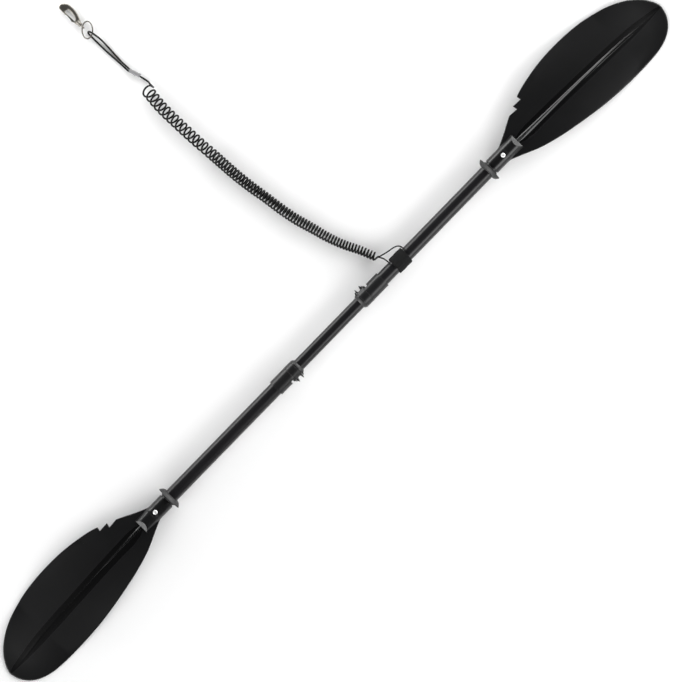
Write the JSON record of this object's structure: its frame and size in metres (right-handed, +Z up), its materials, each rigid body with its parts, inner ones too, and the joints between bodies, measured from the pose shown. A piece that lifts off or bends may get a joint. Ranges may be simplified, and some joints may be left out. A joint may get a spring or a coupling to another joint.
{
  "type": "kayak paddle",
  "caption": "Double-bladed kayak paddle with a telescoping, feathering centre tube, flip-lever collars, drip rings and a coiled leash with a snap hook.",
  "frame": {"origin": "centre of the paddle's footprint on the surface it lies on, under the shaft's axis at mid-length", "axes": "+X along the shaft to the right blade, +Y towards the notched edges and the leash, +Z up, out of the ribbed faces"},
  "size_m": [2.0486, 1.0156, 0.0597],
  "materials": {
    "shaft_coating": "satin dark grey coating on aluminium tube",
    "blade_plastic": "satin moulded black polypropylene",
    "rivet_aluminium": "bright dome",
    "bung_foam": "closed-cell foam",
    "collar_plastic": "moulded with fine ribs",
    "lever_plastic": "moulded",
    "plug_plastic": "moulded",
    "steel_pin": "plain steel",
    "brake_rubber": "moulded pad",
    "ring_rubber": "soft moulded rubber",
    "strap_nylon": "woven hook-and-loop strap",
    "cord_sheath": "smooth plastic-coated cord",
    "coil_sheath": "the same cord, wound",
    "crimp_sleeve": "pale grey sleeve",
    "plated_steel": "nickel plate"
  },
  "bodies": {
    "right_half": {"right_shaft": "shaft_coating", "right_blade": "blade_plastic", "right_rivet_top": "rivet_aluminium", "right_rivet_bottom": "rivet_aluminium", "right_shaft_bung": "bung_foam", "right_collar": "collar_plastic", "right_lever_pin": "steel_pin", "right_brake_shoe": "brake_rubber", "leash_cuff": "strap_nylon", "leash_bail": "cord_sheath", "leash_coil": "coil_sheath", "leash_lead": "cord_sheath", "leash_loop": "cord_sheath", "crimp_sleeve": "crimp_sleeve", "split_ring": "plated_steel", "swivel_eye": "plated_steel"},
    "right_lever": {"right_cam_lever": "lever_plastic"},
    "right_ring": {"right_drip_ring": "ring_rubber"},
    "right_plug": {"right_guide_plug": "plug_plastic"},
    "centre": {"centre_tube": "shaft_coating"},
    "left_plug": {"left_guide_plug": "plug_plastic"},
    "left_half": {"left_shaft": "shaft_coating", "left_blade": "blade_plastic", "left_rivet_top": "rivet_aluminium", "left_rivet_bottom": "rivet_aluminium", "left_shaft_bung": "bung_foam", "left_collar": "collar_plastic", "left_lever_pin": "steel_pin", "left_brake_shoe": "brake_rubber"},
    "left_lever": {"left_cam_lever": "lever_plastic"},
    "left_ring": {"left_drip_ring": "ring_rubber"},
    "hook": {"hook_body": "plated_steel", "gate_pin": "steel_pin", "gate_spring": "steel_pin"},
    "gate": {"hook_gate": "plated_steel"}
  },
  "joints": [
    {"name": "right_length", "type": "slide", "parent": "right_half", "child": "right_plug", "axis": [1, 0, 0], "range_m": [-0.05, 0.09]},
    {"name": "right_feather", "type": "hinge", "parent": "right_plug", "child": "centre", "pos_m": [0.25, 0, 0.03], "axis": [1, 0, 0], "range_deg": [-90, 90]},
    {"name": "left_feather", "type": "hinge", "parent": "centre", "child": "left_plug", "pos_m": [-0.25, 0, 0.03], "axis": [1, 0, 0], "range_deg": [-90, 90]},
    {"name": "left_length", "type": "slide", "parent": "left_plug", "child": "left_half", "axis": [1, 0, 0], "range_m": [-0.05, 0.09]},
    {"name": "right_lever_flip", "type": "hinge", "parent": "right_half", "child": "right_lever", "pos_m": [0.1134, -0.01597, 0.01882], "axis": [1, 0, 0], "range_deg": [0, 110]},
    {"name": "left_lever_flip", "type": "hinge", "parent": "left_half", "child": "left_lever", "pos_m": [-0.1134, 0.01597, 0.01882], "axis": [-1, 0, 0], "range_deg": [0, 110]},
    {"name": "right_ring_slide", "type": "slide", "parent": "right_half", "child": "right_ring", "axis": [1, 0, 0], "range_m": [-0.2, 0.002]},
    {"name": "left_ring_slide", "type": "slide", "parent": "left_half", "child": "left_ring", "axis": [-1, 0, 0], "range_m": [-0.2, 0.002]},
    {"name": "hook_swivel", "type": "hinge", "parent": "right_half", "child": "hook", "pos_m": [0.1048, 0.8706, 0.0055], "axis": [0, 1, 0], "continuous": true},
    {"name": "gate_pivot", "type": "hinge", "parent": "hook", "child": "gate", "pos_m": [0.1008, 0.8751, 0.0055], "axis": [0, 0, -1], "range_deg": [0, 13], "stiffness_Nm_per_rad": 0.3}
  ]
}
